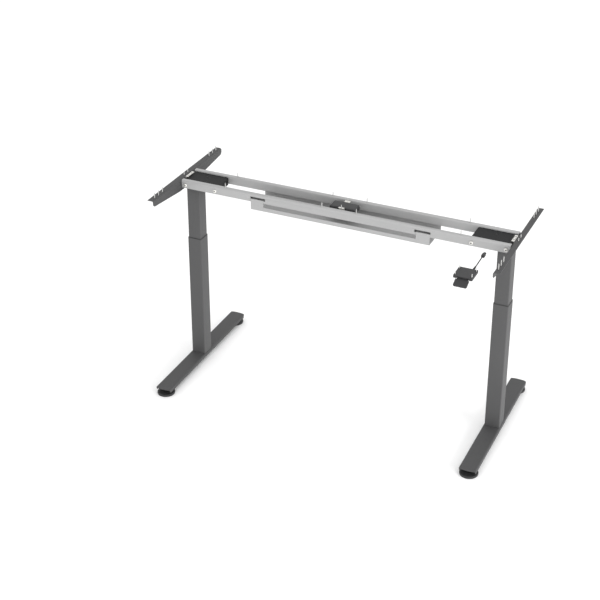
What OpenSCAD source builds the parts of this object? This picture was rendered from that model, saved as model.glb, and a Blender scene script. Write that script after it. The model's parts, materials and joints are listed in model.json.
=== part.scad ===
// Height adjustable desk frame: two telescopic lifting columns on flat feet,
// two cross rails, side brackets for the desktop, cable tray, control box and
// paddle handset. X is the width, -Y the user's side, Z up; z = 0 is the floor.

/* [Frame] */
// Distance between the two column centres
column_span = 1400; // [1200:10:1500]
// Height of the desktop's resting plane in the stored position
top_z = 918; // [880:1:950]
// Length of each foot, front to back
foot_len = 732; // [640:2:800]
// Length of each side bracket, front to back
bracket_len = 610; // [600:2:700]

/* [Columns] */
// Outside width of the outer tube
outer_w = 65; // [64:0.5:66]
// Outside width of the inner tube
inner_w = 60; // [59:0.5:60]
// Wall of both column tubes
tube_wall = 1.6; // [1.2:0.1:1.6]
// Height of the outer tube's collar above the floor
collar_z = 625; // [600:1:628]
// Diameter of the lifting spindle
spindle_d = 14; // [12:0.5:16]

/* [Feet] */
// Width of the foot channel
foot_w = 72; // [70:1:80]
// Height of the foot's top above the floor
foot_z = 36; // [36:0.5:38]
// Sheet thickness of the foot
foot_sheet = 3; // [2.5:0.5:3]
// Diameter of a levelling glide
glide_d = 78; // [50:1:80]

/* [Rails and tray] */
// Height of a cross rail
rail_h = 38; // [38:1:42]
// Depth of a cross rail
rail_d = 20; // [18:1:22]
// Distance between the rails' centre lines
rail_pitch = 117; // [117:1:123]
// Length of the cable tray
tray_len = 799; // [700:1:850]
// Drop from the rails' underside to the tray's underside
tray_drop = 34.5; // [30:0.5:60]

/* [Hidden] */
$fn = 48;
eps = 0.01;

left = -1;
right = 1;
fit = 0.05;              // radial clearance of every running or threaded fit
min_r = 0.5;             // smallest inner corner of a tube with a thick wall
slide_gap = 0.3;         // clearance on each side of the sliding tubes
col_x = column_span / 2;

// feet
side_z = foot_z - 16;    // lower edge of the foot's side walls
under_z = foot_z - foot_sheet;
end_bow_r = 400;         // radius of the slightly bowed foot ends
fold_r = 4.5;            // outer radius of the foot's folds
end_slant = 5;           // how far the side walls are cut back at the ends
glide_y = foot_len / 2 - 32;
glide_t = 10;
glide_travel = 6;
stud_r = 5;

// columns
tube_r = 4;              // outer corner radius of the outer tube
outer_in = outer_w - 2 * tube_wall;
collar_t = 3;
skirt_h = 26;
inner_z0 = 300;          // bottom of the inner tube in the stored position
liner_h = 40;
base_t = 8;              // thickness of the base plates
bolt_pitch = 36;         // square pattern of the foot bolts
push_r = 15;
push_wall = 3;
nut_z = 590;
nut_h = 25;
spindle_z0 = 312;

// cross rails and motor cases
rail_z = top_z - rail_h;
rail_y = rail_pitch / 2;
rail_wall = 2;
rail_r = 4.5;
rail_end = col_x + 32;
rail_in = rail_y - rail_d / 2;
rail_out = rail_y + rail_d / 2;
case_in = col_x - 136;   // inner end of a motor case
case_wall = 2;
case_r = 8;              // round corners of the case
case_top = top_z - 7;
cover_screw_len = 11;    // its hole is 6 deeper
floor_z = rail_z + case_wall;
axis_z = (floor_z + case_top - case_wall) / 2;
bolt_z = rail_z + 15;
bolt_x = [col_x + 15, col_x - 128];
bolt_r = 4;
screw_r = 2.25;          // shank of the desktop screws
rail_screw_x = [col_x - 175, 77];

// worm gear: single start worm and a 24 tooth wheel
teeth = 24;
wheel_r = 17.8;
worm_r = 5.8;
worm_y = -24;
journal_r = 6;
bearing_h = 7.2;
wheel_h = 12;
shaft_r = 3;
motor_len = 75;
motor_r = 22;
motor_half = rail_in - case_wall + worm_y; // room between the worm's axis and the case wall
motor_x = col_x - 120;

// side brackets and end plates
plate_t = 2;             // sheet of the end plates
plate_end = rail_end + plate_t;
plate_half = 28;         // half the length of an end plate
plate_bolt_y = 18;
plate_bolt_r = 3;
bracket_t = 2.5;
flange_w = 28;
bend_r = 8;              // outer radius of the bracket's fold
end_screw_x = plate_end + 12;
mid_screw_x = plate_end + 14;
web_mid = 51;            // depth of the bracket web at the rails
web_end = 29.5;          // depth of the web near its ends
web_flat = 80;
end_screw_y = [208, 240.5, 273];
mid_screw_y = 16;
slot_len = 12;

// cable tray
tray_t = 2;
tray_z = rail_z - tray_drop;
lip_h = 18.5;            // height of the tray's front wall
rear_h = tray_drop + 3;  // height of its rear wall, which overlaps the rail
hook_in = 341;           // inner edge of a tray hook
hook_out = tray_len / 2;
hook_z = rail_z + 15;
slot_in = hook_in - 8;
slot_out = hook_out + 2;
slot_h = 12;

// control box
box_x = 57;
box_y = 28;
box_z0 = top_z - 24;
box_top = top_z - 2;
split_z = top_z - 12;
clip_w = 24;

// handset
hs_x = col_x - 58;       // centre of the handset
hs_y = -350;
hs_w = 76;
hs_t = 10;
pin_y = hs_y - 30.5;
pin_z = top_z - 7;
tilt = 23;               // slope of the paddle below the horizontal
paddle_w = 54;
paddle_gap = 10;         // from the pin to the paddle's rear edge
paddle_len = 34;
neck_w = 44;
cord_r = 2.25;
cord_z = top_z - 8;
cord_x = hs_x + 15;
cord_path = [
    [cord_x, -279, cord_z], [cord_x, -255, cord_z], [cord_x - 0.5, -230, cord_z],
    [cord_x - 1, -205, cord_z], [cord_x - 1, -187, cord_z]
];

// ---- helpers -------------------------------------------------------------

// Mirrors a right-hand piece to the side it is needed on.
module on_side(side) {
    mirror([side < 0 ? 1 : 0, 0, 0]) children();
}

// Both hands of a piece, or of a group of pieces.
module both_sides() {
    for (side = [left, right]) on_side(side) children();
}

// Rectangle with true arcs at its corners, centred.
module soft_rect(w, h, r) {
    square([w - 2 * r, h], center = true);
    square([w, h - 2 * r], center = true);
    for (x = [-1, 1], y = [-1, 1])
        translate([x * (w / 2 - r), y * (h / 2 - r)]) circle(r = r);
}

// Square tube standing on z0.
module square_tube(w, wall, r, z0, z1) {
    translate([0, 0, z0])
        linear_extrude(z1 - z0) difference() {
            soft_rect(w, w, r);
            soft_rect(w - 2 * wall, w - 2 * wall, max(r - wall, min_r));
        }
}

// Slot with round ends, long along X.
module slot_shape(len, r) {
    square([len - 2 * r, 2 * r], center = true);
    for (x = [-1, 1]) translate([x * (len / 2 - r), 0]) circle(r = r);
}

// Block from its low corner to its high corner.
module block(low, high) {
    translate(low) cube(high - low);
}

// Rectangle from its low corner to its high corner.
module square_at(low, high) {
    translate(low) square(high - low);
}

// Cylinder along X or Y through a point, from a to b on that axis.
module rod_x(a, b, y, z, r) {
    translate([a, y, z]) rotate([0, 90, 0]) cylinder(r = r, h = b - a);
}
module rod_y(x, a, b, z, r) {
    translate([x, b, z]) rotate([90, 0, 0]) cylinder(r = r, h = b - a);
}

// Wood screw standing point up: pan head below z, tip at tip_z.
module wood_screw(z, tip_z) {
    translate([0, 0, z - 3]) cylinder(r = 4, h = 3);
    translate([0, 0, z - eps]) cylinder(r = screw_r, h = tip_z - z - 5 + eps);
    translate([0, 0, tip_z - 5]) cylinder(r1 = screw_r, r2 = 0.4, h = 5, $fn = 24);
}

// Button head bolt with a hexagon socket; the head faces +Z, shank below z = 0.
module button_bolt(r, head_r, head_h, len) {
    difference() {
        union() {
            translate([0, 0, -len]) cylinder(r = r, h = len + eps);
            cylinder(r = head_r, h = head_h * 0.5);
            translate([0, 0, head_h * 0.5 - eps]) cylinder(r1 = head_r, r2 = head_r * 0.7, h = head_h * 0.5);
        }
        translate([0, 0, head_h * 0.4]) cylinder(r = r * 0.72, h = head_h, $fn = 6);
    }
}

// Round tube along a nearly straight path that runs along Y.
module cord_tube(path, r, sides) {
    rings = len(path);
    points = [for (p = path, k = [0 : sides - 1])
        [p[0] + r * cos(360 * k / sides), p[1], p[2] + r * sin(360 * k / sides)]];
    skin = [for (i = [0 : rings - 2], k = [0 : sides - 1])
        [i * sides + k, (i + 1) * sides + k,
         (i + 1) * sides + (k + 1) % sides, i * sides + (k + 1) % sides]];
    start = [for (k = [0 : sides - 1]) k];
    end = [for (k = [sides - 1 : -1 : 0]) (rings - 1) * sides + k];
    polyhedron(points, concat(skin, [start, end]));
}

// ---- feet ----------------------------------------------------------------

// Folded channel, open below, with bowed ends and walls cut back below.
module foot(side) {
    color("#58585a") on_side(side) translate([col_x, 0, 0]) difference() {
        intersection() {
            rotate([90, 0, 0]) linear_extrude(foot_len, center = true)
                folded_top(foot_w / 2, side_z, foot_z, fold_r);
            translate([0, foot_len / 2 - end_bow_r, 0]) cylinder(r = end_bow_r, h = foot_z, $fn = 180);
            translate([0, end_bow_r - foot_len / 2, 0]) cylinder(r = end_bow_r, h = foot_z, $fn = 180);
        }
        rotate([90, 0, 0]) linear_extrude(2 * foot_len, center = true)
            folded_top(foot_w / 2 - foot_sheet, 0, under_z, fold_r - foot_sheet);
        foot_end_cut();
        mirror([0, 1, 0]) foot_end_cut();
        foot_bolt_places() translate([0, 0, under_z - 1]) cylinder(r = bolt_r + 0.5, h = foot_sheet + 2);
    }
}

// Block in cross-section, from z0 to z1, with its two top corners rounded.
module folded_top(half, z0, z1, r) {
    square_at([-half, z0], [half, z1 - r]);
    square_at([r - half, z0], [half - r, z1]);
    for (x = [r - half, half - r]) translate([x, z1 - r]) circle(r = r);
}

// Wedge that slants the side walls back towards the floor.
module foot_end_cut() {
    rotate([90, 0, 90]) linear_extrude(foot_w + 2, center = true)
        polygon([[foot_len / 2 - 3 - end_slant, side_z - 1], [foot_len / 2 + 1, side_z - 1],
                 [foot_len / 2 + 1, under_z], [foot_len / 2 - 3, under_z]]);
}

// The four places of the column bolts, about a column's axis.
module foot_bolt_places() {
    for (x = [-1, 1], y = [-1, 1])
        translate([x * bolt_pitch / 2, y * bolt_pitch / 2, 0]) children();
}

// Plate welded inside the foot of the outer tube.
module base_plate(side) {
    color("#58585a") on_side(side) translate([col_x, 0, foot_z]) difference() {
        linear_extrude(base_t) soft_rect(outer_in, outer_in, tube_r - tube_wall);
        foot_bolt_places() translate([0, 0, -1]) cylinder(r = bolt_r + fit, h = base_t + 2);
    }
}

// Four bolts up through the foot into the base plate.
module foot_bolts(side) {
    color("#2c2c2e") on_side(side) translate([col_x, 0, under_z]) foot_bolt_places() {
        translate([0, 0, -eps]) cylinder(r = bolt_r, h = foot_sheet + base_t + eps);
        translate([0, 0, -5]) difference() {
            cylinder(r = 6.5, h = 5);
            translate([0, 0, -1]) cylinder(r = 3, h = 4, $fn = 6);
        }
    }
}

// Two long weld nuts under the foot, for the levelling glides.
module glide_nuts(side) {
    color("#b8b8b8") on_side(side) for (y = [-glide_y, glide_y])
        translate([col_x, y, side_z - 1]) difference() {
            cylinder(r = 9, h = under_z - side_z + 1, $fn = 6);
            translate([0, 0, -1]) cylinder(r = stud_r + fit, h = under_z - side_z + 3);
        }
}

// Levelling glide: broad disc with a threaded stud.
module glide(side, end) {
    stud_top = under_z - glide_travel - 1;
    color("#2b2b2d") on_side(side) translate([col_x, end * glide_y, 0]) {
        cylinder(r1 = glide_d / 2 - 1, r2 = glide_d / 2, h = 2, $fn = 96);
        translate([0, 0, 2]) cylinder(r = glide_d / 2, h = glide_t - 4, $fn = 96);
        translate([0, 0, glide_t - 2]) cylinder(r1 = glide_d / 2, r2 = glide_d / 2 - 2, h = 2, $fn = 96);
        translate([0, 0, glide_t - eps]) cylinder(r = stud_r, h = stud_top - glide_t);
    }
}

// ---- columns -------------------------------------------------------------

module outer_tube(side) {
    color("#6b6b6d") on_side(side) translate([col_x, 0, 0])
        square_tube(outer_w, tube_wall, tube_r, foot_z, collar_z - collar_t);
}

// Plastic rim with a thin skirt that guides the inner tube.
module tube_collar(side) {
    guide_w = inner_w + 2 * slide_gap;
    color("#1e1e20") on_side(side) translate([col_x, 0, 0]) {
        square_tube(outer_w, (outer_w - guide_w) / 2, tube_r, collar_z - collar_t, collar_z);
        square_tube(outer_in, (outer_in - guide_w) / 2, tube_r - tube_wall,
            collar_z - collar_t - skirt_h, collar_z - collar_t);
    }
}

module inner_tube(side) {
    color("#6b6b6d") on_side(side) translate([col_x, 0, 0])
        square_tube(inner_w, tube_wall, tube_r - 0.5, inner_z0, rail_z);
}

// Plastic sleeves round the lower ends of the inner tubes.
module tube_liners() {
    liner_w = outer_in - 2 * slide_gap;
    color("#e6e6e0") both_sides() translate([col_x, 0, 0])
        square_tube(liner_w, (liner_w - inner_w) / 2, tube_r - tube_wall, inner_z0, inner_z0 + liner_h);
}

// Standing tube that carries the nut of the spindle.
module push_tube(side) {
    color("#b8b8b8") on_side(side) translate([col_x, 0, foot_z + base_t]) difference() {
        cylinder(r = push_r, h = nut_z - foot_z - base_t);
        translate([0, 0, -1]) cylinder(r = push_r - push_wall, h = nut_z);
    }
}

module spindle_nut(side) {
    color("#e8e4d8") on_side(side) translate([col_x, 0, nut_z]) difference() {
        union() {
            cylinder(r = push_r + 2, h = nut_h);
            translate([0, 0, -10]) cylinder(r = push_r - push_wall - fit, h = 10 + eps);
        }
        translate([0, 0, -11]) cylinder(r = spindle_d / 2 + fit, h = nut_h + 12);
    }
}

// Lifting spindle with a smaller journal inside the motor case.
module spindle(side) {
    color("#c0c0c2") on_side(side) translate([col_x, 0, 0]) {
        translate([0, 0, spindle_z0]) cylinder(r = spindle_d / 2, h = floor_z - 0.3 - spindle_z0);
        translate([0, 0, floor_z - 1]) cylinder(r = journal_r, h = axis_z + 10 - floor_z);
    }
}

// ---- drives --------------------------------------------------------------

// Worm wheel, with teeth cut in from its rim.
module worm_wheel(side) {
    color("#e8e4d8") on_side(side) translate([col_x, 0, axis_z - wheel_h / 2]) difference() {
        cylinder(r = wheel_r, h = wheel_h, $fn = 96);
        translate([0, 0, -1]) cylinder(r = journal_r, h = wheel_h + 2);
        for (k = [0 : teeth - 1]) rotate(360 * k / teeth)
            translate([wheel_r + 0.2, 0, -1]) cylinder(r = 1.4, h = wheel_h + 2, $fn = 24);
    }
}

module spindle_bearings() {
    color("#c0c0c2") both_sides() translate([col_x, 0, floor_z]) difference() {
        cylinder(r = 14, h = axis_z - wheel_h / 2 - floor_z - slide_gap);
        translate([0, 0, -1]) cylinder(r = journal_r + fit, h = bearing_h + 5);
    }
}

// Worm at its crest diameter, on the motor's shaft.
module worm(side) {
    color("#c0c0c2") on_side(side) {
        rod_x(motor_x + motor_len - 14, rail_end - 0.5, worm_y, axis_z, shaft_r);
        rod_x(col_x - 14, col_x + 14, worm_y, axis_z, worm_r);
    }
}

// Flat-sided motor can with the bearing bore of its shaft.
module motor(side) {
    h = case_top - case_wall - floor_z;
    color("#8a8a8c") on_side(side) difference() {
        intersection() {
            rod_x(motor_x, motor_x + motor_len, worm_y, axis_z, motor_r);
            block([motor_x - 1, worm_y - motor_half, axis_z - h / 2],
                  [motor_x + motor_len + 1, worm_y + motor_half, axis_z + h / 2]);
        }
        rod_x(motor_x + motor_len - 15, motor_x + motor_len + 1, worm_y, axis_z, shaft_r + fit);
    }
}

// Plan of a motor case with round corners, inset by the given wall.
module case_block(inset, z0, z1) {
    translate([(case_in + rail_end) / 2, 0, z0]) linear_extrude(z1 - z0)
        soft_rect(rail_end - case_in - 2 * inset, 2 * (rail_in - inset), case_r - inset);
}

// Open-topped case between the rails; its floor carries the column.
module motor_case(side) {
    color("#3c3c3e") on_side(side) difference() {
        case_block(0, rail_z, case_top - case_wall);
        case_block(case_wall, floor_z, case_top + 1);
        translate([col_x, 0, rail_z - 1]) cylinder(r = spindle_d / 2 + 0.5, h = case_wall + 2);
        rod_x(rail_end - case_wall - 1, rail_end + 1, worm_y, axis_z, shaft_r + fit);
        for (y = [-plate_bolt_y, plate_bolt_y])
            rod_x(rail_end - case_wall - 1, rail_end + 1, y, rail_z + 10, plate_bolt_r + fit);
        for (x = bolt_x) rod_y(x, -rail_in - 1, rail_in + 1, bolt_z, bolt_r + fit);
    }
    color("#3c3c3e") on_side(side) translate([col_x - 50, 13, floor_z - eps]) difference() {
        cylinder(r = 4, h = case_top - case_wall - floor_z);
        translate([0, 0, case_top - cover_screw_len - 6 - floor_z]) cylinder(r = 1.5 + fit, h = 30);
    }
}

module case_cover(side) {
    color("#3c3c3e") on_side(side) difference() {
        case_block(0, case_top - case_wall, case_top);
        translate([col_x - 50, 13, case_top - case_wall - 1]) cylinder(r = 1.8, h = 4);
    }
}

module cover_screws() {
    color("#1e1e20") both_sides() translate([col_x - 50, 13, 0]) difference() {
        union() {
            translate([0, 0, case_top - cover_screw_len]) cylinder(r = 1.5, h = cover_screw_len + eps);
            translate([0, 0, case_top]) cylinder(r = 3.2, h = 1.6);
        }
        translate([0, 0, case_top + 0.8]) cylinder(r = 1.2, h = 2, $fn = 6);
    }
}

// ---- cross rails ---------------------------------------------------------

// Rounded rectangular tube; y_side is -1 for the front rail, 1 for the rear.
module rail(y_side) {
    color("#c4c4c4") translate([0, y_side * rail_y, 0]) mirror([0, y_side > 0 ? 1 : 0, 0]) difference() {
        translate([0, 0, rail_z + rail_h / 2]) rotate([90, 0, 90])
            linear_extrude(2 * rail_end, center = true) difference() {
                soft_rect(rail_d, rail_h, rail_r);
                soft_rect(rail_d - 2 * rail_wall, rail_h - 2 * rail_wall, rail_r - rail_wall);
            }
        both_sides() {
            for (x = bolt_x) {
                rod_y(x, 0, rail_d, bolt_z, bolt_r + 0.3);
                translate([x, 0, bolt_z + 1.75]) rotate([90, 90, 0])
                    linear_extrude(rail_d) slot_shape(16.5, bolt_r + 0.5);
            }
            for (x = rail_screw_x)
                translate([x, 0, rail_z - 1]) cylinder(r = screw_r + 0.25, h = rail_h + 2);
            translate([(slot_in + slot_out) / 2, 0, hook_z + slot_h / 2 - 2]) rotate([90, 0, 0])
                linear_extrude(rail_d) soft_rect(slot_out - slot_in, slot_h, slot_out - hook_out);
        }
    }
}

// Button head bolts through the rails into the motor cases.
module rail_bolts() {
    color("#e6e6e6") both_sides() for (x = bolt_x, end = [0, 1]) mirror([0, end, 0])
        translate([x, -rail_out, bolt_z]) rotate([90, 0, 0])
            button_bolt(bolt_r, 8.25, 4.5, rail_d + case_wall + 2.5);
}

// Wood screws up through the rails into the desktop.
module rail_screws() {
    color("#d2d2d2") both_sides() for (x = rail_screw_x, y = [-rail_y, rail_y])
        translate([x, y, 0]) wood_screw(rail_z, top_z + 22);
}

// ---- side brackets -------------------------------------------------------

// Outline of the web: deep at the rails, tapering to rounded ends.
module web_shape() {
    r = 16;
    half = bracket_len / 2;
    low = top_z - web_end;
    polygon([[-half, top_z], [-half, low + r], [r - half, low], [-web_flat, top_z - web_mid],
             [web_flat, top_z - web_mid], [half - r, low], [half, low + r], [half, top_z]]);
    for (y = [-1, 1]) translate([y * (half - r), low + r]) circle(r = r);
}

// Folded angle in cross-section: web at plate_end, flange at the top.
module bracket_profile() {
    square_at([plate_end, top_z - web_mid], [plate_end + bracket_t, top_z - bend_r]);
    square_at([plate_end + bend_r, top_z - bracket_t], [plate_end + flange_w, top_z]);
    translate([plate_end + bend_r, top_z - bend_r]) intersection() {
        difference() {
            circle(r = bend_r);
            circle(r = bend_r - bracket_t);
        }
        square_at([-bend_r, 0], [0, bend_r]);
    }
}

// Angle that the desktop rests on, with slots for its screws.
module side_bracket(side) {
    color("#5c5c5e") on_side(side) difference() {
        intersection() {
            rotate([90, 0, 0]) linear_extrude(bracket_len, center = true) bracket_profile();
            translate([plate_end - 1, 0, 0]) rotate([90, 0, 90]) linear_extrude(flange_w + 2) web_shape();
        }
        for (y = [for (v = end_screw_y) each [-v, v]])
            translate([end_screw_x, y, top_z - bracket_t - 1])
                linear_extrude(bracket_t + 2) slot_shape(slot_len, screw_r + 0.4);
        for (y = [-mid_screw_y, mid_screw_y])
            translate([mid_screw_x, y, top_z - bracket_t - 1])
                linear_extrude(bracket_t + 2) slot_shape(slot_len, screw_r + 0.4);
        for (y = [-plate_bolt_y, plate_bolt_y])
            rod_x(plate_end - 1, plate_end + 5, y, rail_z + 10, plate_bolt_r + 0.3);
    }
}

// Wood screws up through the brackets into the desktop.
module bracket_screws() {
    color("#dcdcdc") both_sides() {
        for (y = [for (v = end_screw_y) each [-v, v]])
            translate([end_screw_x, y, 0]) wood_screw(top_z - bracket_t, top_z + 25);
        for (y = [-mid_screw_y, mid_screw_y])
            translate([mid_screw_x, y, 0]) wood_screw(top_z - bracket_t, top_z + 15);
    }
}

// Plate that closes the rail ends, with a top leg over the motor case.
module end_plate(side) {
    color("#e2e0da") on_side(side) difference() {
        union() {
            block([rail_end, -plate_half, rail_z + 3], [plate_end, plate_half, top_z]);
            block([rail_end - 10, -plate_half, top_z - plate_t], [plate_end, plate_half, top_z]);
        }
        for (y = [-16, 16]) translate([rail_end - 4, y, top_z - 4]) cylinder(r = 3, h = 6);
        for (y = [-plate_bolt_y, plate_bolt_y])
            rod_x(rail_end - 1, plate_end + 1, y, rail_z + 10, plate_bolt_r + fit);
    }
}

module bracket_bolts() {
    color("#2c2c2e") both_sides() for (y = [-plate_bolt_y, plate_bolt_y])
        translate([plate_end + bracket_t, y, rail_z + 10]) rotate([0, 90, 0])
            button_bolt(plate_bolt_r, 5.2, 3.6, bracket_t + plate_t + case_wall + 4);
}

// ---- cable tray ----------------------------------------------------------

// Folded tray hooked over the outer faces of both rails.
module cable_tray() {
    y_out = rail_out + tray_t;
    color("#c6c6c6") {
        block([-hook_out, -y_out, tray_z], [hook_out, y_out, tray_z + tray_t]);
        for (end = [0, 1]) mirror([0, end, 0]) {
            block([-hook_out, -y_out, tray_z], [hook_out, -rail_out, tray_z + (end == 0 ? lip_h : rear_h)]);
            both_sides() {
                block([hook_in, -y_out, tray_z], [hook_out, -rail_out, hook_z]);
                block([hook_in, -y_out, hook_z - tray_t], [hook_out, 5 - rail_out, hook_z]);
                block([hook_in, 3 - rail_out, hook_z - 8], [hook_out, 5 - rail_out, hook_z]);
            }
        }
    }
}

// ---- control box ---------------------------------------------------------

module control_box_base() {
    color("#1c1c1e") difference() {
        block([-box_x, -box_y, box_z0], [box_x, box_y, split_z]);
        block([2 - box_x, 2 - box_y, box_z0 + 2], [box_x - 2, box_y - 2, split_z + 1]);
        for (x = [-40, -16, 16, 40]) block([x - 6, -box_y - 1, box_z0 + 4], [x + 6, 3 - box_y, box_z0 + 10]);
    }
}

// Lid with all four top edges chamfered.
module control_box_lid() {
    w = 2 * box_x;
    d = 2 * box_y;
    color("#464648") difference() {
        intersection() {
            block([-box_x, -box_y, split_z], [box_x, box_y, box_top]);
            rotate([90, 0, 0]) linear_extrude(d, center = true)
                polygon([[-box_x, split_z], [box_x, split_z], [box_x, box_top - 3], [box_x - 3, box_top],
                         [3 - box_x, box_top], [-box_x, box_top - 3]]);
            rotate([90, 0, 90]) linear_extrude(w, center = true)
                polygon([[-box_y, split_z], [box_y, split_z], [box_y, box_top - 3], [box_y - 3, box_top],
                         [3 - box_y, box_top], [-box_y, box_top - 3]]);
        }
        block([3 - box_x, 3 - box_y, split_z - 1], [box_x - 3, box_y - 3, box_top - 3]);
    }
}

module control_board() {
    color("#2f5a3a") {
        block([6 - box_x, 6 - box_y, box_z0 + 4], [box_x - 6, box_y - 6, box_z0 + 5.6]);
        for (x = [-30, 0, 30]) translate([x, 0, box_z0 + 5.5]) cylinder(r = 6, h = 10);
        for (x = [-40, 40], y = [-16, 16]) translate([x, y, box_z0 + 2]) cylinder(r = 3, h = 2.1);
    }
}

// Hanger clips under the box, with a pad for a screw into the desktop.
module box_clips() {
    color("#dcdcdc") for (end = [0, 1]) mirror([0, end, 0]) difference() {
        union() {
            block([-clip_w / 2, box_y, top_z - 1.5], [clip_w / 2, box_y + 10.5, top_z]);
            block([-clip_w / 2, box_y, box_z0 - 1.5], [clip_w / 2, box_y + 1.5, top_z]);
            block([-clip_w / 2, box_y - 14, box_z0 - 1.5], [clip_w / 2, box_y + 1.5, box_z0]);
        }
        translate([0, box_y + 6, top_z - 3]) cylinder(r = screw_r + 0.25, h = 5);
    }
}

module clip_screws() {
    color("#dcdcdc") for (y = [-box_y - 6, box_y + 6]) translate([0, y, 0])
        wood_screw(top_z - 1.5, top_z + 15);
}

// ---- handset -------------------------------------------------------------

module handset_body() {
    half = hs_w / 2;
    color("#5c5c5e") translate([hs_x, hs_y, 0]) difference() {
        translate([0, 0, top_z - hs_t]) linear_extrude(hs_t) soft_rect(hs_w, hs_w, 4);
        block([-neck_w / 2 - 1, -half - 1, top_z - hs_t - 1], [neck_w / 2 + 1, 12 - half, pin_z + 4]);
        block([-half + 10, -half + 20, top_z - hs_t - 1], [half - 10, half - 6, top_z - 4]);
        translate([cord_x - hs_x, half - 8, cord_z]) rotate([-90, 0, 0]) cylinder(r = 3.5, h = 10);
        rod_x(-neck_w / 2 - 7, neck_w / 2 + 7, pin_y - hs_y, pin_z, 1.5);
        for (x = [-33, 33], y = [-26.5, 26.5]) translate([x, y, 0]) {
            translate([0, 0, top_z - 6]) cylinder(r = 4.5, h = 7);
            translate([0, 0, top_z - hs_t - 1]) cylinder(r = 1.8, h = hs_t + 2);
        }
    }
}

// Four small screws that would hold the handset under the desktop.
module handset_screws() {
    color("#dcdcdc") for (x = [-33, 33], y = [-26.5, 26.5]) translate([hs_x + x, hs_y + y, 0]) {
        translate([0, 0, top_z - hs_t - 2.4]) cylinder(r = 3.2, h = 2.4);
        translate([0, 0, top_z - hs_t - eps]) cylinder(r = 1.5, h = hs_t + 14);
    }
}

module paddle_pin() {
    color("#c0c0c2") translate([hs_x, 0, 0])
        rod_x(-neck_w / 2 - 6.5, neck_w / 2 + 6.5, pin_y, pin_z, 1.45);
}

// Paddle pressed up or down, hanging on its pin.
module paddle() {
    color("#464648") translate([hs_x, pin_y, pin_z]) rotate([tilt, 0, 0]) difference() {
        union() {
            rod_x(-neck_w / 2, neck_w / 2, 0, 0, 3);
            block([-neck_w / 2, -14, -3], [neck_w / 2, 0, 0]);
            translate([0, -paddle_gap - paddle_len / 2, -4.5]) linear_extrude(5) {
                soft_rect(paddle_w, paddle_len, 6);
                square_at([-paddle_w / 2, 0], [paddle_w / 2, paddle_len / 2]);
            }
        }
        rod_x(-neck_w / 2 - 1, neck_w / 2 + 1, 0, 0, 1.5);
    }
}

// Tapered sleeve where the cord leaves the handset.
module strain_relief() {
    y0 = hs_y + hs_w / 2;
    color("#2b2b2d") translate([cord_x, 0, cord_z]) rotate([-90, 0, 0]) difference() {
        union() {
            translate([0, 0, y0 - 6]) cylinder(r = 3.4, h = 6 + eps);
            translate([0, 0, y0]) cylinder(r1 = 5, r2 = 3.2, h = -279 - y0 + 4, $fn = 32);
        }
        translate([0, 0, -279]) cylinder(r = cord_r, h = 8);
    }
}

module handset_cord() {
    color("#1e1e20") cord_tube(cord_path, cord_r, 10);
}

// Small in-line connector on the cord's free end.
module cord_plug() {
    end = cord_path[len(cord_path) - 1];
    color("#1e1e20") translate(end) {
        block([-6.5, 0, -5.5], [6.5, 22, 5.5]);
        block([-5, 22 - eps, -4], [5, 32, 4]);
    }
}

// ---- the assembly --------------------------------------------------------

foot(left);  // foot_left
foot(right);  // foot_right
outer_tube(left);  // outer_tube_left
outer_tube(right);  // outer_tube_right
tube_collar(left);  // tube_collar_left
tube_collar(right);  // tube_collar_right
base_plate(left);  // base_plate_left
base_plate(right);  // base_plate_right
foot_bolts(left);  // foot_bolts_left
foot_bolts(right);  // foot_bolts_right
push_tube(left);  // push_tube_left
push_tube(right);  // push_tube_right
spindle_nut(left);  // spindle_nut_left
spindle_nut(right);  // spindle_nut_right
glide_nuts(left);  // glide_nuts_left
glide_nuts(right);  // glide_nuts_right
glide(left, -1);  // glide_left_front
glide(left, 1);  // glide_left_rear
glide(right, -1);  // glide_right_front
glide(right, 1);  // glide_right_rear
inner_tube(left);  // inner_tube_left
inner_tube(right);  // inner_tube_right
tube_liners();
spindle(left);  // spindle_left
spindle(right);  // spindle_right
worm_wheel(left);  // worm_wheel_left
worm_wheel(right);  // worm_wheel_right
worm(left);  // worm_left
worm(right);  // worm_right
motor(left);  // motor_left
motor(right);  // motor_right
spindle_bearings();
motor_case(left);  // motor_case_left
motor_case(right);  // motor_case_right
case_cover(left);  // case_cover_left
case_cover(right);  // case_cover_right
cover_screws();
rail(-1);  // rail_front
rail(1);  // rail_rear
rail_bolts();
side_bracket(left);  // side_bracket_left
side_bracket(right);  // side_bracket_right
end_plate(left);  // end_plate_left
end_plate(right);  // end_plate_right
bracket_bolts();
bracket_screws();
rail_screws();
cable_tray();
control_box_base();
control_box_lid();
control_board();
box_clips();
clip_screws();
handset_body();
handset_screws();
strain_relief();
handset_cord();
cord_plug();
paddle();
paddle_pin();
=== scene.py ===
# %% [markdown]
# # Height adjustable desk frame
#
# Two telescopic steel columns on flat folded feet carry two light grey cross rails. Dark side
# brackets stand at the rails' ends, and a cable tray, a control box and a paddle handset are
# level with the rails. The frame comes with its joints; this file gives every piece its finish
# and its finer shape.

# %% Load the frame
import json
import math

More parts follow.
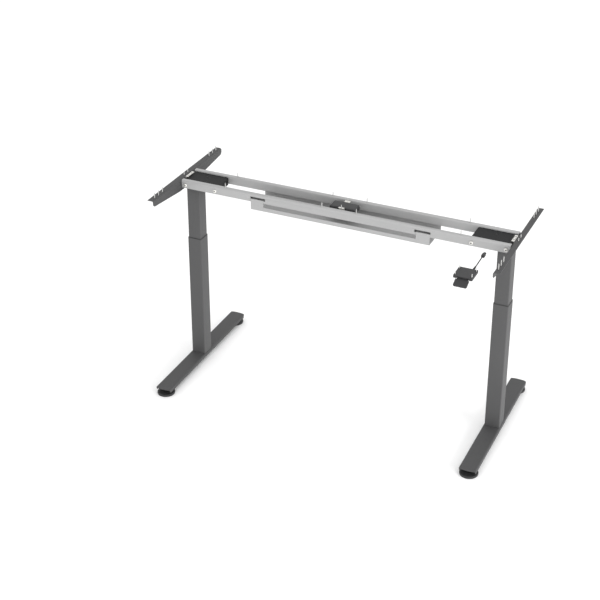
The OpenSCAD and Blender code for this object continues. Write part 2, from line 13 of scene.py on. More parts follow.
import bpy
import numpy as np
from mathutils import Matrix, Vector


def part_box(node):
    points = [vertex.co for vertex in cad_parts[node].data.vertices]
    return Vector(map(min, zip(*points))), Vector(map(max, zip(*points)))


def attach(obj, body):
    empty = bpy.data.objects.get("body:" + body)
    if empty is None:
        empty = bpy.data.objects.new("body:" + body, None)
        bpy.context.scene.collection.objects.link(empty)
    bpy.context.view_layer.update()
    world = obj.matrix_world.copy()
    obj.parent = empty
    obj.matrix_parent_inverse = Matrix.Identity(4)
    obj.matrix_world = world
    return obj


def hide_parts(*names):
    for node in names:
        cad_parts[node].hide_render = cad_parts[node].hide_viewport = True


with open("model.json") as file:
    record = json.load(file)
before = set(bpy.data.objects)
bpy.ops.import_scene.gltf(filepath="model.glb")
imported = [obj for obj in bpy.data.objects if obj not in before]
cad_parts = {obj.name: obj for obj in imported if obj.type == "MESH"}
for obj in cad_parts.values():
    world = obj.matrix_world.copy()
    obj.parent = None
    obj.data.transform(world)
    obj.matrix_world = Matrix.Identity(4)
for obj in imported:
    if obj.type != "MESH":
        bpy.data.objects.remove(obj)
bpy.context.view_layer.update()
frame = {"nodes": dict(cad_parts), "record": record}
nodes = frame["nodes"]
SIDES = {"left": -1, "right": 1}

# %% [markdown]
# ## Camera
#
# A long lens from the front right, about three and a half metres up, looking down at the frame.
# Aiming it at the frame's middle would change how the columns converge, so it keeps its tilt
# and a lens shift moves the picture instead.

# %% Camera
camera_data = bpy.data.cameras.new("camera")
camera_data.lens = 81.63
camera_data.sensor_width = 36.0
camera_data.shift_y = -0.16
camera_data.clip_end = 200
camera = bpy.data.objects.new("camera", camera_data)
camera.location = (1.9465, -4.6815, 3.376)
camera.rotation_euler = (math.radians(64.14), 0, math.radians(24.66))
bpy.context.scene.collection.objects.link(camera)
bpy.context.scene.camera = camera

# %% [markdown]
# ## Studio
#
# A pale seamless floor, an even white surround and two soft boxes. One small lamp alone would
# give hard shadows, so the surround does most of the work. The key box stands low on the right, so
# that faces turned to the right are the lightest and tops are darker; the front box lifts the
# rails a little.

# %% World and lights
world = bpy.data.worlds.new("studio")
bpy.context.scene.world = world
world.use_nodes = True
surround = world.node_tree.nodes["Background"]
surround.inputs["Color"].default_value = (1, 1, 1, 1)
surround.inputs["Strength"].default_value = 1.15
bpy.context.scene.view_settings.view_transform = "Standard"


def soft_box(name, place, aim, size, watts):
    """A square area light at place, turned to face the point aim."""
    data = bpy.data.lights.new(name, "AREA")
    data.energy = watts
    data.size = size
    lamp = bpy.data.objects.new(name, data)
    lamp.location = place
    lamp.rotation_euler = aim_rotation(place, aim)
    bpy.context.scene.collection.objects.link(lamp)
    return lamp


def aim_rotation(place, aim):
    """Euler turn that points an object's -Z from place to aim."""
    dx, dy, dz = (a - p for a, p in zip(aim, place))
    flat = math.hypot(dx, dy)
    return (math.pi / 2 + math.atan2(dz, flat), 0, math.atan2(-dx, dy))


soft_box("key", (5.6, -2.0, 1.6), (0, 0, 0.45), 3.0, 230)
soft_box("front", (-2.0, -6.0, 1.6), (0, 0, 0.5), 3.5, 40)

# %% Floor
floor_data = bpy.data.meshes.new("floor")
floor_data.from_pydata([(-40, -40, 0), (40, -40, 0), (40, 40, 0), (-40, 40, 0)], [], [(0, 1, 2, 3)])
floor = bpy.data.objects.new("floor", floor_data)
bpy.context.scene.collection.objects.link(floor)

# %% [markdown]
# ## Materials
#
# Each finish is one node graph in object coordinates. A flat colour would look like nothing in
# particular, and a painted texture would need a UV map on every piece, so noise does the work:
# it breaks up the colour and the roughness, and a bump of the same grain gives the surface its
# tooth. The Bevel node's normal leaves the face's own near an edge, and that difference makes
# edges slightly lighter: a highlight painted into the base colour along every edge.

# %% Material builder


def finish(name, colour, roughness, metallic=0.0, grain=900.0, bump=0.02, spread=0.06,
           edge=0.15, stretch=(1, 1, 1), shine=0.5):
    """A procedural finish: base colour and roughness varied by two noises, with painted edge
    highlights.
    """
    mat = bpy.data.materials.new(name)
    mat.use_nodes = True
    tree = mat.node_tree
    new, link = tree.nodes.new, tree.links.new
    shader = tree.nodes["Principled BSDF"]
    where = new("ShaderNodeTexCoord")
    squeeze = new("ShaderNodeMapping")
    squeeze.inputs["Scale"].default_value = stretch
    link(where.outputs["Object"], squeeze.inputs["Vector"])
    fine = new("ShaderNodeTexNoise")
    fine.inputs["Scale"].default_value = grain
    fine.inputs["Detail"].default_value = 3.0
    link(squeeze.outputs["Vector"], fine.inputs["Vector"])
    broad = new("ShaderNodeTexNoise")
    broad.inputs["Scale"].default_value = 9.0
    broad.inputs["Detail"].default_value = 4.0
    link(where.outputs["Object"], broad.inputs["Vector"])
    mixed = new("ShaderNodeMath")
    mixed.operation = "MULTIPLY_ADD"
    mixed.inputs[1].default_value = 0.5
    link(fine.outputs["Fac"], mixed.inputs[0])
    half = new("ShaderNodeMath")
    half.operation = "MULTIPLY"
    half.inputs[1].default_value = 0.5
    link(broad.outputs["Fac"], half.inputs[0])
    link(half.outputs["Value"], mixed.inputs[2])
    ramp = new("ShaderNodeValToRGB")
    dark = [c * (1 - spread) for c in colour] + [1]
    light = [min(1, c * (1 + spread)) for c in colour] + [1]
    ramp.color_ramp.elements[0].position = 0.3
    ramp.color_ramp.elements[0].color = dark
    ramp.color_ramp.elements[1].position = 0.7
    ramp.color_ramp.elements[1].color = light
    link(mixed.outputs["Value"], ramp.inputs["Fac"])
    bevel = new("ShaderNodeBevel")
    bevel.samples = 4
    bevel.inputs["Radius"].default_value = 0.0012
    face = new("ShaderNodeNewGeometry")
    facing = new("ShaderNodeVectorMath")
    facing.operation = "DOT_PRODUCT"
    link(bevel.outputs["Normal"], facing.inputs[0])
    link(face.outputs["Normal"], facing.inputs[1])
    near_edge = new("ShaderNodeMapRange")
    near_edge.inputs["From Min"].default_value = 1.0
    near_edge.inputs["From Max"].default_value = 0.85
    near_edge.inputs["To Min"].default_value = 0.0
    near_edge.inputs["To Max"].default_value = edge
    link(facing.outputs["Value"], near_edge.inputs["Value"])
    # Painted highlight: near an edge the base colour is mixed towards a lighter copy of itself.
    edge_highlight = new("ShaderNodeMix")
    edge_highlight.data_type = "RGBA"
    edge_highlight.inputs["B"].default_value = [min(1, c * 1.6 + 0.04) for c in colour] + [1]
    link(near_edge.outputs["Result"], edge_highlight.inputs["Factor"])
    link(ramp.outputs["Color"], edge_highlight.inputs["A"])
    link(edge_highlight.outputs["Result"], shader.inputs["Base Color"])
    rough = new("ShaderNodeMapRange")
    rough.inputs["From Min"].default_value = 0.3
    rough.inputs["From Max"].default_value = 0.7
    rough.inputs["To Min"].default_value = max(0.05, roughness - 0.06)
    rough.inputs["To Max"].default_value = min(1, roughness + 0.06)
    link(mixed.outputs["Value"], rough.inputs["Value"])
    link(rough.outputs["Result"], shader.inputs["Roughness"])
    tooth = new("ShaderNodeBump")
    tooth.inputs["Strength"].default_value = bump
    tooth.inputs["Distance"].default_value = 0.0004
    link(fine.outputs["Fac"], tooth.inputs["Height"])
    link(tooth.outputs["Normal"], shader.inputs["Normal"])
    shader.inputs["Metallic"].default_value = metallic
    shader.inputs["Specular IOR Level"].default_value = shine
    return mat


# %% [markdown]
# Powder coat has a fine orange peel; zinc is brighter with a faint brushed drag; moulded plastic
# has a spark-eroded texture; natural nylon is creamy and a little waxy.

# %% Finishes
FINISHES = {
    "dark_powder_coat": finish("dark_powder_coat", (0.055, 0.055, 0.056), 0.6, grain=1400,
                               bump=0.25, shine=0.35),
    "column_powder_coat": finish("column_powder_coat", (0.070, 0.070, 0.071), 0.6, grain=1400,
                                 bump=0.25, shine=0.35),
    "case_paint": finish("case_paint", (0.014, 0.014, 0.0145), 0.65, grain=1600, bump=0.2,
                         shine=0.2),
    "silver_powder_coat": finish("silver_powder_coat", (0.350, 0.350, 0.350), 0.5, grain=1400,
                                 bump=0.2, spread=0.03, shine=0.35),
    "zinc_plate": finish("zinc_plate", (0.68, 0.67, 0.64), 0.38, metallic=0.5, grain=500,
                         stretch=(1, 8, 1)),
    "screw_steel": finish("screw_steel", (0.50, 0.50, 0.49), 0.33, metallic=0.6, grain=700),
    "black_steel": finish("black_steel", (0.020, 0.020, 0.021), 0.45, metallic=0.2, grain=900,
                          shine=0.4),
    "bare_steel": finish("bare_steel", (0.50, 0.50, 0.51), 0.32, metallic=1.0, grain=600,
                         stretch=(1, 1, 0.1)),
    "natural_nylon": finish("natural_nylon", (0.66, 0.63, 0.55), 0.5, grain=500),
    "black_plastic": finish("black_plastic", (0.030, 0.030, 0.031), 0.55, grain=2000, bump=0.3,
                            shine=0.35),
    "glide_plastic": finish("glide_plastic", (0.024, 0.024, 0.025), 0.5, grain=1500, bump=0.3,
                            shine=0.35),
    "cord_rubber": finish("cord_rubber", (0.016, 0.016, 0.017), 0.6, grain=1500, shine=0.3),
    "board_green": finish("board_green", (0.025, 0.085, 0.038), 0.4, grain=400),
}
floor_finish = finish("floor_paper", (0.93, 0.93, 0.93), 0.9, grain=60, bump=0.0, spread=0.005,
                      edge=0)
floor.data.materials.append(floor_finish)

slot_of = {part["node"]: part["material_slot"] for part in frame["record"]["subparts"]}


def dress(obj, slot):
    """Gives obj the finish of one of the record's material slots."""
    obj.data.materials.clear()
    obj.data.materials.append(FINISHES[slot])


for name, obj in nodes.items():
    dress(obj, slot_of[name])
print("dressed", len(nodes), "nodes in", len(FINISHES), "finishes")

# %% [markdown]
# ## How the finer pieces are made
#
# Nearly everything on this frame is folded sheet, drawn tube, turned metal or moulded plastic.
# Each of these is a line carried along another line, so one helper turns a stack of rings into a
# closed surface, and the other helpers only work out the rings as whole numpy arrays.

# %% Rings to surface


def skin(rings, closed=False, strip=False):
    """Points and faces of a surface through S rings of M points: quads join neighbours on the
    grid. A closed stack joins its last ring to its first. An open one gets a cap at each end:
    one face, or a strip of quads across the sheet when the ring is a thin folded outline."""
    rings = np.asarray(rings, float)
    count, around = rings.shape[:2]
    i = np.arange(count if closed else count - 1)[:, None]
    k = np.arange(around)[None, :]
    following = (i + 1) % count
    after = (k + 1) % around
    quads = np.stack([i * around + k, i * around + after, following * around + after,
                      following * around + k], axis=-1).reshape(-1, 4).tolist()
    if not closed:
        for ring, turn in ((0, -1), (count - 1, 1)):
            base = ring * around
            if strip:
                a = np.arange(around // 2 - 1)
                b = around - 1 - a
                cap = (base + np.stack([a, a + 1, b - 1, b], axis=-1))[:, ::turn].tolist()
            else:
                cap = [(base + np.arange(around)[::turn]).tolist()]
            quads += cap
    points = rings.reshape(-1, 3)
    fans = np.array([(f[0], f[j], f[j + 1]) for f in quads for j in range(1, len(f) - 1)])
    a, b, c = (points[fans[:, j]] for j in range(3))
    if np.einsum("ij,ij->i", a, np.cross(b, c)).sum() < 0:
        quads = [f[::-1] for f in quads]
    return points, quads


def piece(name, shells, slot, body, replaces=(), soften=0.0, sharp=35):
    """One object made of several closed shells, dressed, riding on its body; soften rounds its
    sharp edges by that many metres with a live Bevel."""
    points, faces, start = [], [], 0
    for shell_points, shell_faces in shells:
        points.append(shell_points)
        faces += [[start + v for v in f] for f in shell_faces]
        start += len(shell_points)
    mesh = bpy.data.meshes.new(name)
    mesh.from_pydata(np.concatenate(points), [], faces)
    mesh.validate()
    mesh.shade_smooth()
    mesh.set_sharp_from_angle(angle=math.radians(sharp))
    obj = bpy.data.objects.new(name, mesh)
    bpy.context.scene.collection.objects.link(obj)
    if soften:
        bevel = obj.modifiers.new("soft_edges", "BEVEL")
        bevel.width = soften
        bevel.segments = 2
        bevel.limit_method = "ANGLE"
        bevel.angle_limit = math.radians(sharp)
    dress(obj, slot)
    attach(obj, body)
    if replaces:
        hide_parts(*replaces)
    print(f"{name}: {len(mesh.polygons)} faces")
    return obj


# %% Outlines


def soft_rectangle(width, height, radius, steps=6):
    """Rectangle with a quarter circle of that radius at each corner: (cx + r cos t, cy + r sin t)
    for the four corner centres, counter-clockwise. A radius of nearly zero stays a tiny arc."""
    radius = max(radius, 1e-5)
    t = np.linspace(0, math.pi / 2, steps + 1)
    turn = t[None, :] + (np.arange(4) * math.pi / 2)[:, None]
    quarters = np.array([(1, 1), (-1, 1), (-1, -1), (1, -1)])
    centre = quarters * (width / 2 - radius, height / 2 - radius)
    x = centre[:, :1] + radius * np.cos(turn)
    y = centre[:, 1:] + radius * np.sin(turn)
    return np.stack([x.ravel(), y.ravel()], axis=-1)


def fillet(radius, corner, start, end, steps=5):
    """Arc of a rounded edge: centre corner, from angle start to end in degrees."""
    t = np.radians(np.linspace(start, end, steps + 1))
    return np.stack([corner[0] + radius * np.cos(t), corner[1] + radius * np.sin(t)], axis=-1)


def bent_line(corners, radius, steps=6):
    """A folded strip seen from its end: straight runs joined by arcs. At each corner the arc is a
    blend (1-u)^2 a + 2u(1-u) corner + u^2 b between the points a fold radius away."""
    corners = np.asarray(corners, float)
    u = np.linspace(0, 1, steps + 1)[:, None]
    parts = [corners[:1]]
    for before, corner, after in zip(corners[:-2], corners[1:-1], corners[2:]):
        a = corner + radius * (before - corner) / np.linalg.norm(before - corner)
        b = corner + radius * (after - corner) / np.linalg.norm(after - corner)
        parts.append((1 - u) ** 2 * a + 2 * u * (1 - u) * corner + u ** 2 * b)
    parts.append(corners[-1:])
    return np.concatenate(parts)


def sheet_outline(line, thick):
    """Both faces of a folded strip: the line moved half the sheet's thickness along its normal,
    then back along the other side. The normal is square to the mean of the two runs' directions."""
    run = np.diff(line, axis=0)
    run /= np.linalg.norm(run, axis=1)[:, None]
    along = np.concatenate([run[:1], run[:-1] + run[1:], run[-1:]])
    along /= np.linalg.norm(along, axis=1)[:, None]
    normal = np.stack([-along[:, 1], along[:, 0]], axis=-1) * thick / 2
    return np.concatenate([line + normal, (line - normal)[::-1]])


def rings_up(outlines, heights, centre=(0, 0)):
    """Outlines in X and Y set at their heights above one another."""
    outlines = np.asarray(outlines)
    z = np.broadcast_to(np.asarray(heights)[:, None], outlines.shape[:2])
    return np.stack([outlines[..., 0] + centre[0], outlines[..., 1] + centre[1], z], axis=-1)


def moulding(width, depth, radius, profile, centre=(0, 0)):
    """Rings of a soft rectangle that shrinks by d at height z for each (d, z) of the profile."""
    profile = np.asarray(profile, float)
    outlines = [soft_rectangle(width - 2 * d, depth - 2 * d, radius - d) for d in profile[:, 0]]
    return rings_up(outlines, profile[:, 1], centre)


# %% Turned shapes


def turned(radii, heights, place, axis="z", around=32, ripple=None):
    """Surface of revolution: (r cos a, r sin a, h) about the axis through place. Ripple is an
    array of the same grid that is added to the radius, for a thread or a hexagon socket."""
    a = np.arange(around) * 2 * math.pi / around
    r = np.broadcast_to(np.asarray(radii, float)[:, None], (len(radii), around))
    if ripple is not None:
        r = r + ripple
    h = np.broadcast_to(np.asarray(heights, float)[:, None], r.shape)
    u, v = r * np.cos(a), r * np.sin(a)
    xyz = {"z": (u, v, h), "x": (h, u, v), "y": (v, h, u)}[axis]
    return np.stack(xyz, axis=-1) + np.asarray(place)


def thread(heights, pitch, depth, around):
    """Screw thread: the radius drops by depth between crests, with the crest at the height
    where h / pitch minus the turn a / 2 pi is whole, so the ridge climbs one pitch a turn."""
    a = np.arange(around) / around
    phase = np.asarray(heights)[:, None] / pitch - a[None, :]
    away = np.abs(phase - np.round(phase)) * 2
    return -depth * np.clip(away * 1.6, 0, 1)


def socket(rows, around, radius):
    """Turns a circle of that radius into a hexagon of the same width over corners: the reach of
    a hexagon at angle a is cos 30 / cos(a mod 60 - 30) of it. Rows says how far, 0 to 1."""
    a = np.degrees(np.arange(around) * 2 * math.pi / around) % 60 - 30
    reach = radius * (math.cos(math.radians(30)) / np.cos(np.radians(a)) - 1)
    return np.asarray(rows, float)[:, None] * reach[None, :]


print("helpers ready")

# %% [markdown]
# ## Feet
#
# A foot is one strip of three millimetre steel, folded down along both long sides, with slightly
# bowed ends. It could be a box with its inside cut out, but a fold is a line with round corners,
# so here the end view is carried along the foot and stretched to the bowed and slanted end.

# %% Folded feet
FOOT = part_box("foot_right")
COLUMN_X = (FOOT[0].x + FOOT[1].x) / 2
FOOT_HALF = FOOT[1].y
FOOT_WIDE = FOOT[1].x - FOOT[0].x
SHEET = 0.003
FOLD_REACH = 0.0042      # how far a fold reaches along each of its two sides
END_BOW_R = 0.17
END_ROUND = 0.004        # taken off at the corners of an end
END_SLANT = 0.005


def folded_foot(side):
    """End view (x, z) of the channel carried to y = t * reach, where reach is the half length
    less the bow of the end, R - sqrt(R^2 - x^2), less a round at its corners that grows with the
    eighth power of x, less a slant that grows towards the lower edge."""
    x, z = FOOT_WIDE / 2 - SHEET / 2, FOOT[1].z - SHEET / 2
    top_x = np.linspace(-x, x, 15)[2:-2]
    top = np.stack([top_x, np.full(len(top_x), z)], axis=-1)
    folds = bent_line([(-x, FOOT[0].z), (-x, z), (x, z), (x, FOOT[0].z)], FOLD_REACH,
                      steps=8)
    left_fold, right_fold = np.split(folds, 2)
    line = np.concatenate([left_fold, top, right_fold])
    outline = sheet_outline(line, SHEET)
    bow = END_BOW_R - np.sqrt(END_BOW_R ** 2 - outline[:, 0] ** 2)
    corner = END_ROUND * np.abs(outline[:, 0] * 2 / FOOT_WIDE) ** 8
    low = np.clip((FOOT[1].z - SHEET - outline[:, 1]) / (FOOT[1].z - SHEET - FOOT[0].z), 0, 1)
    reach = FOOT_HALF - bow - corner - END_SLANT * low
    t = np.linspace(-1, 1, 25)[:, None]
    y = t * reach[None, :]
    rings = np.stack([np.broadcast_to(side * COLUMN_X + outline[:, 0], y.shape), y,
                      np.broadcast_to(outline[:, 1], y.shape)], axis=-1)
    return skin(rings, strip=True)


for word, side in SIDES.items():
    piece(f"foot_sheet_{word}", [folded_foot(side)], "dark_powder_coat", f"leg_{word}",
          [f"foot_{word}"], soften=0.0007, sharp=50)

# %% [markdown]
# ## Levelling glides
#
# Each glide is a moulded disc with a soft rim and a hollow underside, on a threaded stud. Turned
# pieces are a half outline swung round an axis; the thread is a ripple added to the radius.

# %% Glides
low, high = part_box("glide_right_front")
GLIDE_R = (high.x - low.x) / 2
STUD_R = 0.005
for word, side in SIDES.items():
    for end in ("front", "rear"):
        low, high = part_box(f"glide_{word}_{end}")
        place = (side * COLUMN_X, (low.y + high.y) / 2, 0)
        outline = np.concatenate([
            [(GLIDE_R * 0.2, 0.0022), (GLIDE_R - 0.007, 0.0022), (GLIDE_R - 0.0055, 0.0)],
            fillet(0.0018, (GLIDE_R - 0.0018, 0.0018), -80, 0),
            fillet(0.0035, (GLIDE_R - 0.0035, 0.0065), 0, 90),
            [(GLIDE_R - 0.009, 0.0098), (0.016, 0.0100), (0.012, 0.0100), (0.0102, 0.0094),
             (0.0052, 0.0094)]])
        disc = turned(outline[:, 0], outline[:, 1], place, around=72)
        rise = np.arange(0.0095, high.z - 0.0008, 0.00025)
        core = np.full(len(rise), STUD_R)
        ridge = thread(rise, pitch=0.0015, depth=0.0008, around=24)
        stud = turned(core, rise, place, around=24, ripple=ridge)
        piece(f"glide_disc_{word}_{end}", [skin(disc), skin(stud)], "glide_plastic",
              f"glide_{word}_{end}", [f"glide_{word}_{end}"])

# %% [markdown]
# ## Columns
#
# The tubes are drawn square section with round corners. A closed stack of soft rectangles, out
# up the outside and back down the inside, is a tube with real wall thickness and rounded lips.

# %% Column tubes and collars
TUBE_WALL = 0.0016
LIP = 0.0003
OUTER_ROUND = 0.004
INNER_ROUND = 0.0035
COLLAR_BORE = 0.0606


def tube(node, radius, wall, lip):
    """Closed stack of a CAD tube's size: up the outside, over the lip and down the inside."""
    low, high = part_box(node)
    wide = high.x - low.x
    centre = ((low.x + high.x) / 2, (low.y + high.y) / 2)
    profile = np.concatenate([fillet(lip, (lip, low.z + lip), 270, 180, 3),
                              fillet(lip, (lip, high.z - lip), 180, 90, 3),
                              [(wall, high.z), (wall, low.z)]])
    return skin(moulding(wide, wide, radius, profile, centre), closed=True)


for word, side in SIDES.items():
    piece(f"outer_column_{word}", [tube(f"outer_tube_{word}", OUTER_ROUND, TUBE_WALL, LIP)],
          "column_powder_coat", f"leg_{word}", [f"outer_tube_{word}"])
    piece(f"inner_column_{word}", [tube(f"inner_tube_{word}", INNER_ROUND, TUBE_WALL, LIP)],
          "column_powder_coat", "upper", [f"inner_tube_{word}"])
    low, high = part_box(f"tube_collar_{word}")
    wide = high.x - low.x
    guide = (wide - COLLAR_BORE) / 2
    rim_z = high.z - 0.003
    profile = np.array([(0, rim_z), (0, high.z - 0.0009), (0.0004, high.z - 0.0002),
                        (0.0009, high.z), (guide - 0.0004, high.z), (guide, high.z - 0.0006),
                        (guide, low.z), (TUBE_WALL, low.z), (TUBE_WALL, rim_z)])
    rim = moulding(wide, wide, OUTER_ROUND, profile, (side * COLUMN_X, 0))
    piece(f"collar_rim_{word}", [skin(rim, closed=True)], "black_plastic", f"leg_{word}",
          [f"tube_collar_{word}"])

# %% [markdown]
# ## Screws and bolts
#
# Wood screws stand point up, waiting for the desktop. The shank carries a coarse thread that
# runs out into the point. Bolts have a domed button head, and the key's hexagon socket is the
# same turned outline whose inner rings are pulled from a circle into a hexagon.

# %% Wood screws
SCREW_REACH = 0.0095
HEAD_H = 0.003
SHANK_R = 0.00225
POINT_LENGTH = 0.006


def wood_screw(x, y, under, tip):
    """Pan head below the sheet; above it the shank, whose radius is the core's less the thread,
    drawn in towards a point over its last POINT_LENGTH. They are two closed shells a millimetre
    apart, and the gap lies within the thickness of the sheet."""
    head = np.concatenate([[(0.0016, -0.0030)], fillet(0.0016, (0.0022, -0.0014), -90, 0, 5),
                           [(0.0040, -0.0004), (0.0040, 0.0)]])
    outline_r, outline_h = head[:, 0], head[:, 1] + under
    rise = np.arange(under + 0.001, tip - 0.0002, 0.00028)
    taper = np.clip((tip - rise) / POINT_LENGTH, 0.1, 1) ** 0.8
    ripple = thread(rise, pitch=0.0022, depth=0.00075, around=14) * taper[:, None]
    shank = turned(SHANK_R * taper, rise, (x, y, 0), around=14, ripple=ripple)
    return [skin(turned(outline_r, outline_h, (x, y, 0), around=24)), skin(shank)]


def screw_places(node):
    """Centre, lowest and highest point of each screw in a CAD node. All points within SCREW_REACH
    of the first one left belong to one screw: a head is narrower, and the next screw further."""
    co = np.empty(len(nodes[node].data.vertices) * 3, np.float32)
    nodes[node].data.vertices.foreach_get("co", co)
    co = co.reshape(-1, 3).astype(float)
    groups, left = [], co
    while len(left):
        near = np.hypot(left[:, 0] - left[0, 0], left[:, 1] - left[0, 1]) < SCREW_REACH
        low, high = left[near].min(axis=0), left[near].max(axis=0)
        groups.append(((low[0] + high[0]) / 2, (low[1] + high[1]) / 2, low[2], high[2]))
        left = left[~near]
    return groups


for node in ("bracket_screws", "rail_screws", "clip_screws"):
    places = screw_places(node)
    shells = [shell for x, y, low, high in places
              for shell in wood_screw(x, y, low + HEAD_H, high)]
    print(node, "has", len(places), "screws")
    piece(f"threaded_{node}", shells, "screw_steel", "upper", [node])

# %% Button head bolts


def button_head(place, axis, way, head_r, head_h, socket_r, shank_r, shank):
    """Rings from the socket's floor, up its hexagon wall, over the dome and down the shank."""
    depth = head_h * 0.7
    dome = fillet(1.0, (0, 0), 62, 8, 7) * (head_r / math.cos(math.radians(8)), head_h * 0.9)
    r = np.concatenate([[socket_r * 0.55, socket_r, socket_r, socket_r * 1.12], dome[:, 0],
                        [head_r * 0.97, shank_r, shank_r]])
    h = np.concatenate([[head_h - depth, head_h - depth, head_h - 0.0004, head_h],
                        dome[:, 1] + head_h * 0.1, [0.0, 0.0, -shank]])
    rows = np.zeros(len(r))
    rows[:3] = (0.5, 1, 1)
    around = 36
    return skin(turned(r, way * h, place, axis, around, ripple=socket(rows, around, socket_r)))


# %% [markdown]
# The sockets are deep and see little light. A bright head in a bright room would wash them out,
# so each rail bolt has a dark hexagonal plug of its own, set part of the way up its socket:
# painted shade standing in for the socket's shadow, which also makes the open socket shallower.

# %% Bolts in place
RAIL_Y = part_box("rail_rear")[1].y
SHADE_PLUG_R = 0.0032
SHADE_PLUG_LOW, SHADE_PLUG_TOP = 0.0014, 0.0030      # from the rail's face
low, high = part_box("rail_bolts")
BOLT_Z = (low.z + high.z) / 2
bolt_places = [((side * x, way * RAIL_Y, BOLT_Z), way)
               for x in (COLUMN_X + 0.015, COLUMN_X - 0.128)
               for side in SIDES.values() for way in (-1, 1)]
bolts = [button_head(place, "y", way, head_r=0.00825, head_h=0.0045, socket_r=0.0034,
                     shank_r=0.004, shank=0.0245)
         for place, way in bolt_places]
piece("rail_button_bolts", bolts, "zinc_plate", "upper", ["rail_bolts"])
# Painted shade: a dark plug in each rail bolt's socket, in place of the shadow down there.
hexagon = socket([1, 1], 36, SHADE_PLUG_R)
shade_plugs = [skin(turned([SHADE_PLUG_R] * 2, [way * SHADE_PLUG_LOW, way * SHADE_PLUG_TOP], place, "y", 36,
                      hexagon))
          for place, way in bolt_places]
piece("socket_painted_shade", shade_plugs, "black_steel", "upper")

low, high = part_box("bracket_bolts")
bolts = [button_head((side * (high.x - 0.0036), y, (low.z + high.z) / 2), "x", side,
                     head_r=0.0052, head_h=0.0036, socket_r=0.0022, shank_r=0.003, shank=0.0105)
         for side in SIDES.values() for y in (-0.018, 0.018)]
piece("bracket_button_bolts", bolts, "black_steel", "upper", ["bracket_bolts"])

# %% [markdown]
# ## Cable tray
#
# The tray is one folded sheet, hooked over both rails at its ends. Between the hooks it is a
# plain trough. It could be cut from one wide hooked strip, but cutting leaves untidy edges, so
# the trough and the two hooked ends are strips of their own that meet face to face.

# %% Folded tray


def carried_x(line, thick, x0, x1):
    """A strip's outline in Y and Z, set at x0 and x1."""
    outline = sheet_outline(np.asarray(line, float), thick)
    x = np.array([x0, x1])[:, None]
    y, z = (np.broadcast_to(outline[:, j], (2, len(outline))) for j in (0, 1))
    return skin(np.stack([np.broadcast_to(x, y.shape), y, z], axis=-1), strip=True)


low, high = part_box("cable_tray")
TRAY_T = 0.002
TRAY_FOLD = 0.0028
HOOK_IN = 0.341          # where the trough ends and a hook begins
HOOK_LEG = 0.006
FRONT_WALL = 0.0185
y_mid, z_mid = high.y - TRAY_T / 2, low.z + TRAY_T / 2
hook_y, hook_top, hook_tip = y_mid - HOOK_LEG, high.z - TRAY_T / 2, high.z - 0.008
rear_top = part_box("rail_rear")[0].z + 0.003
trough = bent_line([(-y_mid, low.z + FRONT_WALL), (-y_mid, z_mid), (y_mid, z_mid),
                    (y_mid, rear_top)], TRAY_FOLD)
hooks = bent_line([(-hook_y, hook_tip), (-hook_y, hook_top), (-y_mid, hook_top), (-y_mid, z_mid),
                   (y_mid, z_mid), (y_mid, hook_top), (hook_y, hook_top), (hook_y, hook_tip)],
                  TRAY_FOLD)
tray = [carried_x(trough, TRAY_T, -HOOK_IN, HOOK_IN)]
for side in SIDES.values():
    tray.append(carried_x(hooks, TRAY_T, side * HOOK_IN, side * high.x))
piece("tray_sheet", tray, "silver_powder_coat", "upper", ["cable_tray"], soften=0.0004, sharp=60)

# %% [markdown]
# ## Control box
#
# The lid is a shallow moulding with chamfered shoulders, and the box hangs in two bent clips. A
# Bevel on a plain box would round all its edges alike, so the lid is rings that step in as they
# rise. The clips are strips folded twice, carried along X as the tray is.

# %% Lid and clips
low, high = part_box("control_box_lid")
wide, deep = high.x - low.x, high.y - low.y
shoulders = [(0, low.z), (0, high.z - 0.0036), (0.0003, high.z - 0.0031),
             (0.0029, high.z - 0.0004), (0.0034, high.z - 0.0001), (0.0040, high.z)]
lid = skin(moulding(wide, deep, 0.005, shoulders))
piece("box_lid", [lid], "black_plastic", "upper", ["control_box_lid"])
low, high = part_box("box_clips")
CLIP_T = 0.0015
CLIP_FOLD = 0.0018
WALL_IN, TOE_IN = 0.00975, 0.0245
clip_low, clip_top = low.z + CLIP_T / 2, high.z - CLIP_T / 2
clips = []
for way in (-1, 1):
    wall, toe, tip = way * (high.y - WALL_IN), way * (high.y - TOE_IN), way * high.y
    line = bent_line([(toe, clip_low), (wall, clip_low), (wall, clip_top), (tip, clip_top)],
                     CLIP_FOLD)
    clips.append(carried_x(line, CLIP_T, low.x, high.x))
piece("bent_clips", clips, "zinc_plate", "upper", ["box_clips"], soften=0.0003, sharp=60)

# %% [markdown]
# ## Cord, strain relief and plug
#
# The handset's lead is a thin round cable, stretched nearly straight to its small connector. It
# leaves the handset through a ribbed sleeve that tapers, so that it can't kink at the exit. A
# tube is a circle carried along the route. The route runs along Y and moves DRIFT sideways on the
# curve 3u^2 - 2u^3, which leaves and arrives straight. Where the sleeve is let into the handset
# it is a plain cone, which shows from below; outside, grooves are cut where a cosine wave is low.

# %% Handset cord
cord_low, cord_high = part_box("handset_cord")
plug_low, plug_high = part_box("cord_plug")
CORD_R = 0.00225
CORD_Z = (cord_low.z + cord_high.z) / 2
DRIFT = 0.001
ROUTE_POINTS = 24
CORD_SIDES = 20
u = np.linspace(0, 1, ROUTE_POINTS)
route_x = cord_high.x - CORD_R - DRIFT * (3 * u ** 2 - 2 * u ** 3)
route_y = cord_low.y + u * (cord_high.y - cord_low.y)
route = np.stack([route_x, route_y, np.full(ROUTE_POINTS, CORD_Z)], axis=-1)
a = np.arange(CORD_SIDES) * 2 * math.pi / CORD_SIDES
tube_rings = np.stack([route[:, 0, None] + CORD_R * np.cos(a),
                       np.broadcast_to(route_y[:, None], (ROUTE_POINTS, CORD_SIDES)),
                       route[:, 2, None] + CORD_R * np.sin(a)], axis=-1)
cord = piece("handset_lead", [skin(tube_rings)], "cord_rubber", "upper", ["handset_cord"])

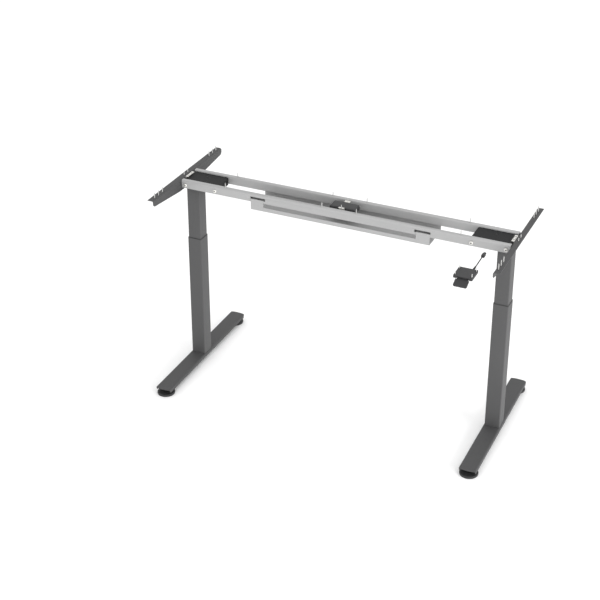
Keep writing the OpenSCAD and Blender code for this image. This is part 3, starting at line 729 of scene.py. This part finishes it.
# %% Strain relief
low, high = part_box("strain_relief")
exit_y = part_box("handset_body")[1].y
RIB_PITCH = 0.0042
GROOVE = 0.0008
y = np.linspace(exit_y, high.y, 61)
taper = 0.0050 + (0.0032 - 0.0050) * (y - exit_y) / (high.y - exit_y)
wave = np.cos((y - exit_y) / RIB_PITCH * 2 * math.pi)
groove = -GROOVE * (wave < -0.2) * (y < high.y - 0.003)
y = np.concatenate([[low.y], y, [high.y]])
radius = np.concatenate([[0.0034], taper + groove, [0.0024]])
sleeve = turned(radius, y, ((low.x + high.x) / 2, 0, (low.z + high.z) / 2), "y")
piece("ribbed_sleeve", [skin(sleeve)], "cord_rubber", "upper", ["strain_relief"])

# %% [markdown]
# The connector is a moulded grip with a narrower nose. Two boxes with a Bevel would do, but the
# grip's ends are rounded differently, so both are slices: soft rectangles standing across Y.

# %% Plug


def along_y(sections, centre):
    """Soft rectangles standing across Y, each given as (y, width, height, corner radius)."""
    rings = []
    for y, width, height, radius in sections:
        x, z = soft_rectangle(width, height, radius).T
        rings.append(np.stack([x + centre[0], np.full(len(x), y), z + centre[1]], axis=-1))
    return skin(np.array(rings))


wide, tall = plug_high.x - plug_low.x, plug_high.z - plug_low.z
y0, y1 = plug_low.y, plug_high.y
grip = [(y0, wide * 0.84, tall * 0.84, 0.0012),
        (y0 + 0.0006, wide * 0.96, tall * 0.96, 0.0015), (y0 + 0.0014, wide, tall, 0.0016),
        (y0 + 0.020, wide, tall, 0.0016), (y0 + 0.0218, wide * 0.97, tall * 0.97, 0.002),
        (y0 + 0.022, wide * 0.9, tall * 0.9, 0.001)]
nose = [(y0 + 0.021, wide * 0.77, tall * 0.72, 0.0008),
        (y1 - 0.0006, wide * 0.77, tall * 0.72, 0.0008), (y1, wide * 0.72, tall * 0.66, 0.0006)]
middle = ((plug_low.x + plug_high.x) / 2, (plug_low.z + plug_high.z) / 2)
plug = piece("cord_connector", [along_y(grip, middle), along_y(nose, middle)], "black_plastic",
             "upper", ["cord_plug"])

# %% [markdown]
# ## Soft edges on the rest
#
# Most of the other pieces, such as brackets, rails and cases, have slots or holes that a ring of
# points can't follow simply, so they keep their exact shapes. A Weld joins their loose triangles
# and a small Bevel rounds the edges, as paint and pressing do on the real ones.

# %% Bevels
EDGES_MM = {
    "side_bracket_left": 0.4, "side_bracket_right": 0.4, "rail_front": 0.3, "rail_rear": 0.3,
    "end_plate_left": 0.5, "end_plate_right": 0.5, "motor_case_left": 0.6,
    "motor_case_right": 0.6, "case_cover_left": 0.7, "case_cover_right": 0.7,
    "control_box_base": 0.5, "handset_body": 0.5, "handset_screws": 0.25, "paddle": 1.0,
    "cover_screws": 0.25, "foot_bolts_left": 0.4, "foot_bolts_right": 0.4,
}
for name, width in EDGES_MM.items():
    weld = nodes[name].modifiers.new("weld", "WELD")
    weld.merge_threshold = 0.00002
    bevel = nodes[name].modifiers.new("soft_edges", "BEVEL")
    bevel.width = width / 1000
    bevel.segments = 2
    bevel.limit_method = "ANGLE"
    bevel.angle_limit = math.radians(40)
print("softened", len(EDGES_MM), "nodes")
